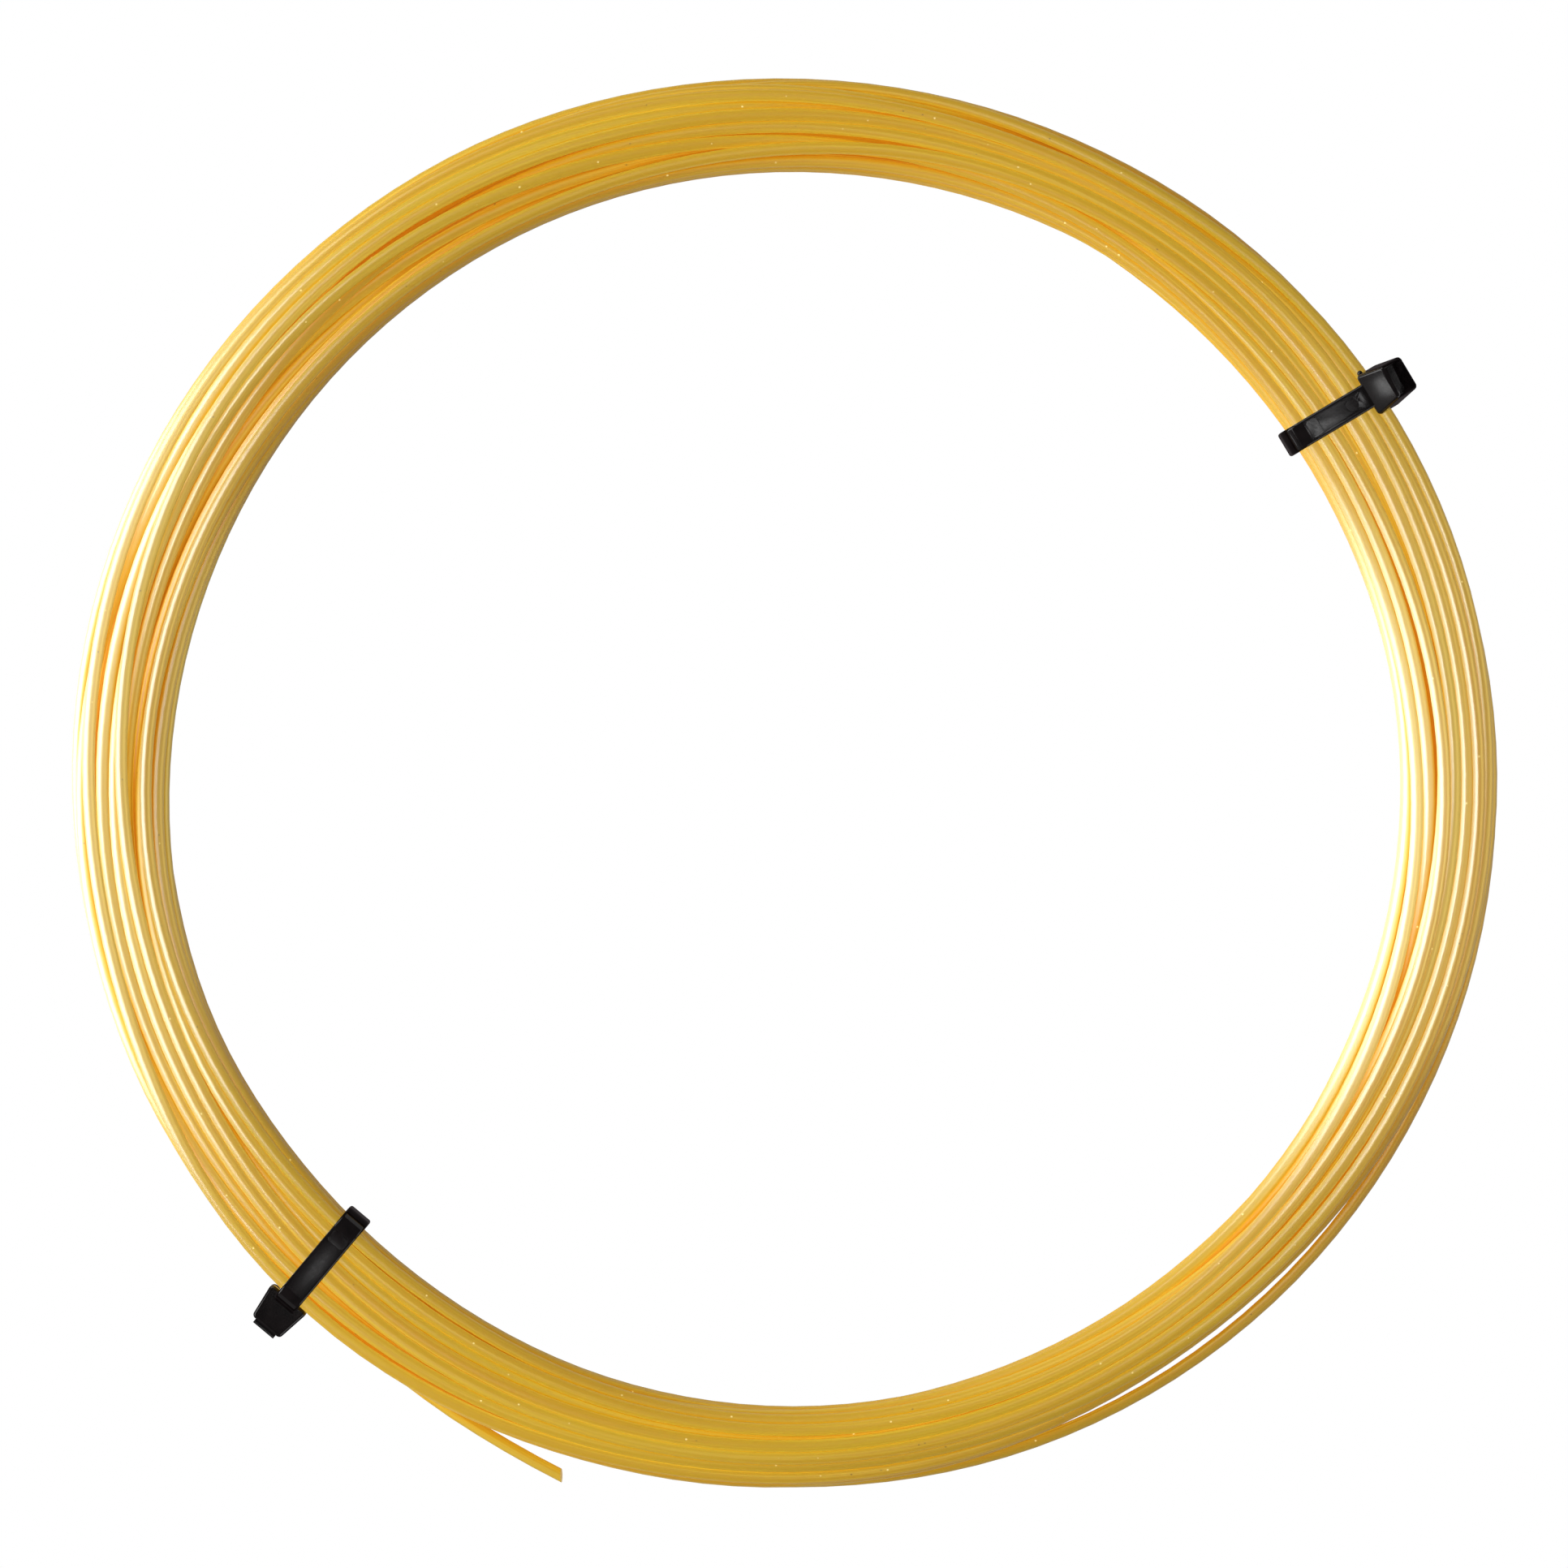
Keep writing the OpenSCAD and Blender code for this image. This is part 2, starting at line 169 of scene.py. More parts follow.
def round_table(degrees, rows, column):
    """A column of a table of angles, read all the way round with eased steps."""
    at = np.array([row[0] for row in rows], float)
    value = np.array([row[column] for row in rows], float)
    at = np.concatenate([at - 360, at, at + 360])
    value = np.tile(value, 3)
    here = np.searchsorted(at, degrees % 360, side="right") - 1
    part = fall(1 - (degrees % 360 - at[here]) / (at[here + 1] - at[here]))
    return value[here] * (1 - part) + value[here + 1] * part


def blur_round(values, width):
    """A ring of values, blurred by a bell curve of that width in stations."""
    rate = 2 * np.pi * np.fft.rfftfreq(len(values))
    return np.fft.irfft(np.fft.rfft(values) * np.exp(-0.5 * (width * rate) ** 2), len(values))


def blur_chain(values, width):
    """A chain of values, blurred by a bell curve of that width."""
    reach = int(4 * width)
    bell = np.exp(-0.5 * (np.arange(-reach, reach + 1) / width) ** 2)
    return np.convolve(np.pad(values, reach, mode="edge"), bell / bell.sum(), mode="valid")


def smooth_line(points, step):
    """A smooth line through the points, with a point every step."""
    points = np.array(points, float)
    ends = np.vstack([2 * points[0] - points[1], points, 2 * points[-1] - points[-2]])
    line = []
    for a, b, c, d in zip(ends, ends[1:], ends[2:], ends[3:]):
        count = max(1, round(np.linalg.norm(c - b) / step))
        for t in np.arange(count) / count:
            bend = (2 * a - 5 * b + 4 * c - d) * t**2 + (3 * (b - c) + d - a) * t**3
            line.append((2 * b + (c - a) * t + bend) / 2)
    return np.array(line + [points[-1]])


# ---- Winding the string ----
class Winding:
    """The string as a chain of points, STATIONS to a turn, that settles into the bundle under its
    own weight. Each point has a radius and a height, and the points at one angle are the discs of a
    cross-section."""

    SEED = 3
    WEIGHT = 0.03
    STIFFNESS = 6
    LAST_STIFFNESS = 4
    SETTLE_STEPS = 600
    PRESS_STEPS = 60

    # A tie holds the turns fully up to some degrees from it, and lets go of them over some more
    HOLD = 6
    SIDES_EASE = 24
    ROOF_EASE = 30
    SPACING_EASE = 40
    FLOOR_HOLD = 7.5
    FLOOR_EASE = 42.5
    # Spare height over the pile, and the pile's cross-section and the height of one layer
    ROOM = 1.0
    PILE_AREA = 52.5
    LAYER = 1.16
    # The bundle's top corners under the ties, at the right tie's outer side, and away from the ties
    TIE_CORNER = 0.26
    RIGHT_TIE_CORNER = 1.13
    RIGHT_TIE_REACH = 60
    INNER_CORNER = 3.4
    OUTER_CORNER = 3.6
    SPACING = 0.33
    # The loose turn: where its middle is, past the left tie, and how hard it is drawn to its own line
    LOOSE_MIDDLE = 95
    LOOSE_PULL = 0.3
    # Rays that find how open a place is to light, in degrees from straight up
    WIDE_RAYS = np.radians(np.arange(-105, 106, 15))
    LIGHT_RAYS = np.radians(np.arange(-75, 76, 15))
    UPWARD = 1.5
    EDGE_START = 0.8
    EDGE_SHARE = 0.2
    EVEN_LIGHT = 0.25

    def __init__(self):
        self.count = TURNS * STATIONS + 1
        self.n = np.arange(self.count)
        self.angle = LEFT_TIE + self.n * 360 / STATIONS
        self.station = self.n % STATIONS
        self.past = np.arange(STATIONS) * 360 / STATIONS
        self.tail = self.tail_points()
        self.measure_space()
        self.list_neighbours()

    @staticmethod
    def tail_points():
        """The free end's points, in x, y and z."""
        points = list(TAIL_START)
        for past, out, height in TAIL_ROUTE:
            angle = np.radians(LEFT_TIE + past)
            radius = COIL_R + out
            points.append((radius * np.cos(angle), radius * np.sin(angle), height))
        return np.array(points)

    def measure_space(self):
        """The inner and outer limit, floor, roof and top corners of the bundle at each station."""
        degrees = LEFT_TIE + self.past
        near = from_tie(degrees)
        held = fall((near - self.HOLD) / self.SIDES_EASE)
        half = STRING_D / 2
        inner = blur_round(round_table(degrees, BUNDLE, 1), 3) + half
        outer = blur_round(round_table(degrees, BUNDLE, 2), 3) - half
        self.inner = inner * (1 - held) + (BAND_INSIDE[0] + 2 * BAND_GAP + half) * held
        self.outer = outer * (1 - held) + (BAND_INSIDE[1] - 2 * BAND_GAP - half) * held
        self.floor = half + BAND_FLOOR * fall((near - self.FLOOR_HOLD) / self.FLOOR_EASE)
        # Away from the ties the bundle is as high as its width lets it be
        width = self.outer - self.inner
        pile = self.floor + (self.PILE_AREA - self.LAYER * width) / (width + self.LAYER) + self.ROOM
        held = fall((near - self.HOLD) / self.ROOF_EASE)
        self.roof = (BAND_TOP - BAND_GAP - half) * held + pile * (1 - held)
        by_right_tie = np.abs((degrees - RIGHT_TIE + 180) % 360 - 180) < self.RIGHT_TIE_REACH
        tight = np.where(by_right_tie, self.RIGHT_TIE_CORNER, self.TIE_CORNER)
        self.corner = {
            -1: self.TIE_CORNER * held + self.INNER_CORNER * (1 - held),
            1: tight * held + self.OUTER_CORNER * (1 - held),
        }
        # Under a tie the turns stand a little apart, up to its band
        self.tall = (1 + self.SPACING * fall((near - self.HOLD) / self.SPACING_EASE))[:, None]
        angles = np.degrees(np.arctan2(self.tail[:, 1], self.tail[:, 0])) % 360
        radii = np.hypot(self.tail[:, 0], self.tail[:, 1])
        beside = (degrees % 360 >= angles[0] + 0.5) & (degrees % 360 <= angles[-1] + 1.2)
        self.tail_r = np.where(beside, np.interp(degrees % 360, angles, radii), 1e3)[:, None]
        self.tail_z = np.where(beside, np.interp(degrees % 360, angles, self.tail[:, 2]), 0)[:, None]
        self.end = radii[0], self.tail[0, 2]
        self.loose_r = np.interp(self.past, *np.array(LOOSE_TURN, float).T)
        beyond = (np.abs(self.past - self.LOOSE_MIDDLE) - 20) / 25
        self.loose_pull = self.LOOSE_PULL * fall(beyond)[:, None]

    def list_neighbours(self):
        """Which points of the chain share each station."""
        lap = np.arange(TURNS + 1) * STATIONS
        at = np.arange(STATIONS)[:, None] + lap
        self.there = at < self.count
        self.at = np.where(self.there, at, 0)
        others = ~np.eye(TURNS + 1, dtype=bool)
        self.pairs = self.there[:, :, None] & self.there[:, None, :] & others
        last = np.arange(TURNS + 1) == TURNS - 1
        self.loose = ((self.past > 30) & (self.past < 170))[:, None] & last
        self.lane = ((self.past >= 50) & (self.past <= 140))[:, None] & last

    def wander(self, random, rate):
        """A slow random wave along the string, of that many swings a turn."""
        wave = np.zeros(self.count)
        for _ in range(4):
            swing = rate * random.uniform(0.6, 1.4) * self.n / STATIONS
            wave += np.sin(2 * np.pi * (swing + random.uniform()))
        return wave / np.sqrt(2)

    def spread(self, wave):
        """Half the wave and half its rank within each station, so that the turns fill the space."""
        rank = np.empty(self.count)
        for station in range(STATIONS):
            here = np.where(self.station == station)[0]
            rank[here] = (np.argsort(np.argsort(wave[here])) + 0.5) / len(here)
        return blur_chain((wave + rank) / 2, 9)

    def lay(self):
        """The first guess: slow waves across the bundle and up and down in it."""
        random = np.random.default_rng(self.SEED)
        turn = 2 * np.pi * self.n / STATIONS
        across = 0.52 * self.wander(random, 0.21)
        across += 0.14 * self.wander(random, 0.12) * np.sin(turn + 2.2 * self.wander(random, 0.17))
        across += 0.08 * self.wander(random, 0.6)
        up = 0.42 * self.wander(random, 0.17)
        up += 0.12 * self.wander(random, 0.15) * np.sin(turn + 2.2 * self.wander(random, 0.2))
        up += 0.08 * self.wander(random, 0.5)
        across = self.spread(0.5 + 0.5 * np.clip(across / 0.9, -1, 1))
        up = self.spread(0.5 + 0.5 * np.clip(up / 0.75, -1, 1))
        # The last turn starts on the floor at the outside
        past = (self.n - (TURNS - 1) * STATIONS) * 360 / STATIONS
        apart = fall((np.abs(past - self.LOOSE_MIDDLE) - 60) / 50)
        across = across * (1 - apart) + apart
        up = up * (1 - apart)
        s = self.station
        r = self.inner[s] + across * (self.outer - self.inner)[s]
        z = self.floor[s] + up * (self.roof - self.floor)[s]
        return r, z

    def straighten(self, values, stiffness):
        """The string's own stiffness takes sharp bends out of the chain. Its ends run straight on."""
        pad = 400
        before = 2 * values[0] - values[pad:0:-1]
        after = 2 * values[-1] - values[-2 : -pad - 2 : -1]
        chain = np.concatenate([before, values, after])
        rate = 2 * np.pi * np.fft.rfftfreq(len(chain))
        gain = 1 / (1 + stiffness * (2 - 2 * np.cos(rate)) ** 2)
        return np.fft.irfft(np.fft.rfft(chain) * gain, len(chain))[pad : pad + self.count]

    def push_apart(self, r, z):
        """One round of moving overlapping turns apart and back inside the bundle's limits."""
        R = r[self.at]
        Z = z[self.at]
        dr = R[:, :, None] - R[:, None, :]
        dz = Z[:, :, None] - Z[:, None, :]
        gap = np.sqrt(dr**2 + (dz / self.tall[:, :, None]) ** 2) + 1e-9
        over = np.where(self.pairs, np.maximum(0, STRING_D - gap), 0)
        relax = 1 / np.sqrt(np.maximum(1, (over > 0).sum(2)))
        push = 0.5 * over / gap
        move_r = relax * (push * dr).sum(2)
        move_z = relax * (push * dz / self.tall[:, :, None]).sum(2)
        tail_dr = R - self.tail_r
        tail_dz = Z - self.tail_z
        gap = np.hypot(tail_dr, tail_dz) + 1e-9
        over = np.maximum(0, STRING_D - gap) / gap
        R = R + move_r + over * tail_dr
        Z = Z + move_z + over * tail_dz
        for side, edge in ((-1, self.inner), (1, self.outer)):
            corner = self.corner[side]
            corner_r = (edge - side * corner)[:, None]
            corner_z = (self.roof - corner)[:, None]
            out_r = np.maximum(0, side * (R - corner_r))
            out_z = np.maximum(0, Z - corner_z)
            out = np.hypot(out_r, out_z)
            hit = (out > corner[:, None]) & (out_r > 0) & (out_z > 0) & ~(self.loose & (side > 0))
            back = corner[:, None] / np.maximum(out, 1e-9)
            R = np.where(hit, corner_r + side * out_r * back, R)
            Z = np.where(hit, corner_z + out_z * back, Z)
        outer = np.where(self.loose, np.maximum(self.loose_r, self.outer)[:, None], self.outer[:, None])
        R = np.where(self.lane, R + self.loose_pull * (self.loose_r[:, None] - R), R)
        Z = np.where(self.lane, Z + self.loose_pull * (self.floor[:, None] - Z), Z)
        r[self.at[self.there]] = np.clip(R, self.inner[:, None], outer)[self.there]
        z[self.at[self.there]] = np.clip(Z, self.floor[:, None], self.roof[:, None])[self.there]

    def settle(self):
        """Lets the string settle, and returns its whole centreline in metres."""
        r, z = self.lay()
        for step in range(self.SETTLE_STEPS + self.PRESS_STEPS):
            share = min(1, step / self.SETTLE_STEPS)
            stiffness = 60 * (1 - share) ** 2 + self.STIFFNESS
            r = self.straighten(r, stiffness)
            z = self.straighten(z, stiffness)
            if share < 0.9:
                z -= self.WEIGHT * (1 - share)
            r[-1], z[-1] = self.end
            for _ in range(3 if share < 1 else 6):
                self.push_apart(r, z)
        r = self.straighten(r, self.LAST_STIFFNESS)
        z = np.maximum(self.straighten(z, self.LAST_STIFFNESS), self.floor[self.station])
        r[-1], z[-1] = self.end
        self.r = r
        self.z = z
        angle = np.radians(self.angle)
        coil = np.stack([r * np.cos(angle), r * np.sin(angle), z], 1)
        tail = smooth_line(self.tail, 2.5)
        return np.vstack([coil[:-1], tail]) * MM

    def section(self, path):
        """The path's own radius and height, and those of the other turns in the same cross-section."""
        x, y, z = path.T / MM
        radius = np.hypot(x, y)
        degrees = np.degrees(np.arctan2(y, x))
        station = np.round(((degrees - LEFT_TIE) % 360) * STATIONS / 360).astype(int) % STATIONS
        R = np.where(self.there, self.r[self.at], 1e3)
        Z = np.where(self.there, self.z[self.at], 0)
        R = np.hstack([R, self.tail_r])[station]
        Z = np.hstack([Z, self.tail_z])[station]
        own = np.hypot(R - radius[:, None], Z - z[:, None]).argmin(1)
        R[np.arange(len(path)), own] = 1e3
        return radius, z, R, Z

    def open_side(self, path):
        """For each point of the path, the mean direction that no other turn and no floor closes off."""
        radius, z, R, Z = self.section(path)
        to_r = R - radius[:, None]
        to_z = Z - z[:, None]
        mean = np.zeros((len(path), 2))
        for lean in self.WIDE_RAYS:
            way = np.array([np.sin(lean), np.cos(lean)])
            ahead = to_r * way[0] + to_z * way[1]
            aside = np.abs(to_r * way[1] - to_z * way[0])
            clear = np.where(ahead > 0, np.clip(aside / (0.5 * STRING_D), 0, 1), 1).min(1)
            mean += clear[:, None] * way
        mean[:, 1] += self.UPWARD
        mean = np.stack([blur_chain(mean[:, 0], 4), blur_chain(mean[:, 1], 4)], 1)
        mean /= np.linalg.norm(mean, axis=1)[:, None]
        outwards = path[:, :2] / np.linalg.norm(path[:, :2], axis=1)[:, None]
        return np.hstack([outwards * mean[:, :1], mean[:, 1:]])

    def openness(self, path, turn):
        """How much of the light from above reaches each point of the tube's surface, from 0 to 1: rays
        in the cross-section's plane go up from it, and count where no other turn is in their way."""
        radius, z, R, Z = self.section(path)
        half = STRING_D / 2
        across = np.cos(turn)
        up = np.sin(turn)
        to_r = R[:, None, :] - (radius[:, None] + half * across)[:, :, None]
        to_z = Z[:, None, :] - (z[:, None] + half * up)[:, :, None]
        reached = 0
        wanted = 0
        for lean in self.LIGHT_RAYS:
            facing = np.maximum(0, across * np.sin(lean) + up * np.cos(lean))
            ahead = to_r * np.sin(lean) + to_z * np.cos(lean)
            aside = np.abs(to_r * np.cos(lean) - to_z * np.sin(lean))
            # A turn in the way lets a little light by near its edge
            let_by = (aside - self.EDGE_START * half) / (self.EDGE_SHARE * half)
            let_by = np.where(ahead > 0, np.clip(let_by, 0, 1), 1).min(2)
            reached = reached + np.cos(lean) * let_by * (self.EVEN_LIGHT + facing)
            wanted = wanted + np.cos(lean) * (self.EVEN_LIGHT + facing)
        return reached / wanted


winding = Winding()
string_path = winding.settle()


# ---- The camera ----
camera_data = bpy.data.cameras.new("camera")
camera_data.sensor_width = SENSOR
camera_data.lens = SENSOR * CAMERA_HEIGHT / FRAME_WIDTH
camera_data.clip_end = 10
camera = bpy.data.objects.new("camera", camera_data)
camera.location = (*FRAME_CENTRE, CAMERA_HEIGHT + COIL_MIDDLE)
bpy.context.scene.collection.objects.link(camera)
bpy.context.scene.camera = camera


# ---- Mesh helpers ----
def new_piece(name, vertices, faces):
    """A piece of those vertices and faces, shaded smooth."""
    mesh = bpy.data.meshes.new(name)
    mesh.from_pydata([tuple(v) for v in vertices], [], [tuple(f) for f in faces])
    mesh.validate()
    mesh.polygons.foreach_set("use_smooth", [True] * len(mesh.polygons))
    piece = bpy.data.objects.new(name, mesh)
    bpy.context.scene.collection.objects.link(piece)
    return piece


def sweep_string(name, path, radius, sides):
    """A round tube along the path, closed at both ends and cut off at a slant at the far one."""
    run = np.gradient(path, axis=0)
    run /= np.linalg.norm(run, axis=1)[:, None]
    side = np.cross(run, (0, 0, 1))
    side /= np.linalg.norm(side, axis=1)[:, None]
    up = np.cross(side, run)
    turn = 2 * np.pi * np.arange(sides) / sides
    ring = np.cos(turn)[None, :, None] * side[:, None] + np.sin(turn)[None, :, None] * up[:, None]
    points = path[:, None] + radius * ring
    cut = np.array(CUT_FACING) / np.linalg.norm(CUT_FACING)
    points[-1] -= radius * (ring[-1] @ cut / (run[-1] @ cut))[:, None] * run[-1]
    rings, k = np.meshgrid(np.arange(len(path) - 1), np.arange(sides), indexing="ij")
    a = rings * sides + k
    b = rings * sides + (k + 1) % sides
    faces = np.stack([a, a + sides, b + sides, b], -1).reshape(-1, 4).tolist()
    faces.append(range(sides))
    faces.append(range(len(path) * sides - 1, (len(path) - 1) * sides - 1, -1))
    piece = new_piece(name, points.reshape(-1, 3), faces)
    # Light spreads inside the clear string, so it is shaded more evenly than its round surface
    even = (1 - EVENNESS) * ring + EVENNESS * winding.open_side(path)[:, None]
    even = (even / np.linalg.norm(even, axis=2)[:, :, None]).reshape(-1, 3)
    corner = np.empty(len(piece.data.loops), int)
    piece.data.loops.foreach_get("vertex_index", corner)
    normals = even[corner]
    normals[-2 * sides : -sides] = -run[0]
    normals[-sides:] = cut
    piece.data.normals_split_custom_set(normals.tolist())
    along = np.concatenate([[0], np.cumsum(np.linalg.norm(np.diff(path, axis=0), axis=1))])
    place = np.concatenate(
        [np.broadcast_to(radius * np.stack([np.cos(turn), np.sin(turn)], 1), (len(path), sides, 2)),
         np.broadcast_to(along[:, None, None], (len(path), sides, 1))], 2)
    attribute = piece.data.attributes.new("open", "FLOAT", "POINT")
    opened = winding.openness(path, turn)
    opened = np.stack([blur_chain(opened[:, k], 2.5) for k in range(sides)], 1)
    attribute.data.foreach_set("value", opened.astype(np.float32).ravel())
    for label, values in (("place_on_string", place), ("round", ring), ("run", np.repeat(run, sides, 0))):
        attribute = piece.data.attributes.new(label, "FLOAT_VECTOR", "POINT")
        attribute.data.foreach_set("vector", values.astype(np.float32).ravel())
    return piece


string = sweep_string("string", string_path, STRING_D / 2 * MM, TUBE_SIDES)


# ---- The ties ----
def tie_frame(side):
    """From a tie's own axes, outwards over the bundle, up and back along the string, to the model's."""
    angle, skew, _ = TIES[side]
    turn = Matrix.Rotation(np.radians(angle), 4, "Z")
    lean = Matrix.Rotation(np.radians(skew), 4, "Z") @ Matrix.Rotation(np.radians(90), 4, "X")
    return Matrix.Scale(MM, 4) @ turn @ Matrix.Translation((BAND_R, 0, 0)) @ lean


def head_frame(side):
    """From a head's own axes, along its channel, across it and across the strap, to the model's."""
    x, y, roll = TIES[side][2]
    return tie_frame(side) @ Matrix.Translation((x, y, 0)) @ Matrix.Rotation(np.radians(roll), 4, "Z")


def solid_copy(node):
    """A CAD node's solid as a clean mesh, with flat faces whole."""
    solid = bmesh.new()
    solid.from_mesh(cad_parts[node].data)
    bmesh.ops.remove_doubles(solid, verts=solid.verts, dist=SAME_POINT)
    bmesh.ops.dissolve_limit(solid, angle_limit=np.radians(FLAT), verts=solid.verts, edges=solid.edges)
    return solid


def ease(solid, edges, width, steps):
    bmesh.ops.bevel(solid, geom=edges, offset=width * MM, segments=steps, profile=0.5, affect="EDGES")


def sharp_edges(solid):
    return [edge for edge in solid.edges if edge.is_convex and edge.calc_face_angle(0) > np.radians(SHARP)]


def round_plate(x0, x1, half, base, top, corner, edge):
    """A low plate with rounded corners and an eased top edge, in a tie's own axes."""
    plate = bmesh.new()
    outline = []
    for cx, cz, start in ((x1 - corner, half - corner, 0), (x0 + corner, half - corner, 90),
                          (x0 + corner, corner - half, 180), (x1 - corner, corner - half, 270)):
        for step in range(7):
            angle = np.radians(start + 15 * step)
            outline.append((cx + corner * np.cos(angle), base, cz + corner * np.sin(angle)))
    face = plate.faces.new([plate.verts.new(point) for point in outline])
    made = bmesh.ops.extrude_face_region(plate, geom=[face])
    raised = [item for item in made["geom"] if isinstance(item, bmesh.types.BMVert)]
    bmesh.ops.translate(plate, vec=(0, top - base, 0), verts=raised)
    rim = [item for item in made["geom"] if isinstance(item, bmesh.types.BMEdge)]
    bmesh.ops.bevel(plate, geom=rim, offset=edge, segments=2, profile=0.5, affect="EDGES")
    bmesh.ops.recalc_face_normals(plate, faces=plate.faces)
    return plate


def knob(diameter, squash):
    ball = bmesh.new()
    bmesh.ops.create_uvsphere(ball, u_segments=24, v_segments=14, radius=diameter / 2)
    bmesh.ops.scale(ball, vec=(1, squash, 1), verts=ball.verts)
    return ball


def add_to(solid, part, place):
    """Adds a part, made in its own axes, to the solid."""
    bmesh.ops.transform(part, matrix=place, verts=part.verts)
    spare = bpy.data.meshes.new("spare")
    part.to_mesh(spare)
    solid.from_mesh(spare)
    bpy.data.meshes.remove(spare)


def tie_piece(solid, name, body, node):
    """Makes a piece of the solid, its flat faces shaded flat, and puts it in the node's place."""
    mesh = bpy.data.meshes.new(name)
    solid.to_mesh(mesh)
    mesh.polygons.foreach_set("use_smooth", [True] * len(mesh.polygons))
    mesh.set_sharp_from_angle(angle=np.radians(SHADED_SHARP))
    piece = bpy.data.objects.new(name, mesh)
    bpy.context.scene.collection.objects.link(piece)
    weigh = piece.modifiers.new("weigh", "WEIGHTED_NORMAL")
    weigh.keep_sharp = True
    weigh.weight = 100
    bpy.context.view_layer.update()
    shaded = bpy.data.meshes.new_from_object(piece.evaluated_get(bpy.context.evaluated_depsgraph_get()))
    piece.modifiers.remove(weigh)
    piece.data = shaded
    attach(piece, body)
    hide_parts(node)
    return piece


def dressed_strap(side):
    solid = solid_copy(side + "_tie_strap")
    to_head = head_frame(side).inverted()

    def seen(edge):
        s, t, _ = to_head @ ((edge.verts[0].co + edge.verts[1].co) / 2)
        return edge.calc_length() > LONG_ENOUGH * MM and (s < HEAD_REACH[0] or abs(t) > HEAD_REACH[1])

    ease(solid, [edge for edge in sharp_edges(solid) if seen(edge)], STRAP_EDGE, 4)
    pad = round_plate(*PAD, STRAP_TOP - SUNK, STRAP_TOP + PAD_HEIGHT, PAD_CORNER, PAD_EDGE)
    add_to(solid, pad, tie_frame(side))
    if side == "right":
        mark = round_plate(*MARK, STRAP_TOP - SUNK, STRAP_TOP + MARK_HEIGHT, MARK_CORNER, MARK_EDGE)
        add_to(solid, mark, tie_frame(side))
    return tie_piece(solid, side + "_strap_dressed", side + "_tie", side + "_tie_strap")


def dressed_head(side):
    solid = solid_copy(side + "_tie_head")
    corners = np.array([vertex.co for vertex in solid.verts])

    def on_shell(face):
        return ((corners - np.array(face.calc_center_median())) @ np.array(face.normal)).max() < SAME_POINT

    sharp = sharp_edges(solid)
    shell = [edge for edge in sharp if all(on_shell(face) for face in edge.link_faces)]
    rim = [edge for edge in sharp if any(on_shell(face) for face in edge.link_faces) and edge not in shell]
    ease(solid, rim, RIM_EDGE, 2)
    ease(solid, [edge for edge in shell if edge.is_valid], HEAD_EDGE, 4)
    if side == "right":
        add_to(solid, knob(KNOB_D, KNOB_SQUASH), head_frame(side) @ Matrix.Translation(KNOB_AT))
    return tie_piece(solid, side + "_head_dressed", side + "_tie", side + "_tie_head")


tie_pieces = [make(side) for side in TIES for make in (dressed_strap, dressed_head)]


# ---- Materials ----
def grain_group():
    """The noise pattern that all the materials use, with a number of swings to a metre each way."""
    group = bpy.data.node_groups.new("grain", "ShaderNodeTree")
    for name, kind in (("Place", "Vector"), ("Scale", "Vector"), ("Detail", "Float")):
        group.interface.new_socket(name, in_out="INPUT", socket_type="NodeSocket" + kind)
    group.interface.new_socket("Value", in_out="OUTPUT", socket_type="NodeSocketFloat")
    start = group.nodes.new("NodeGroupInput").outputs
    end = group.nodes.new("NodeGroupOutput").inputs
    scaled = group.nodes.new("ShaderNodeVectorMath")
    scaled.operation = "MULTIPLY"
    noise = group.nodes.new("ShaderNodeTexNoise")
    noise.inputs["Scale"].default_value = 1.0
    for output, socket in (
        (start["Place"], scaled.inputs[0]),
        (start["Scale"], scaled.inputs[1]),
        (scaled.outputs[0], noise.inputs["Vector"]),
        (start["Detail"], noise.inputs["Detail"]),
        (noise.outputs["Fac"], end["Value"]),
    ):
        group.links.new(output, socket)
    return group


GRAIN = grain_group()


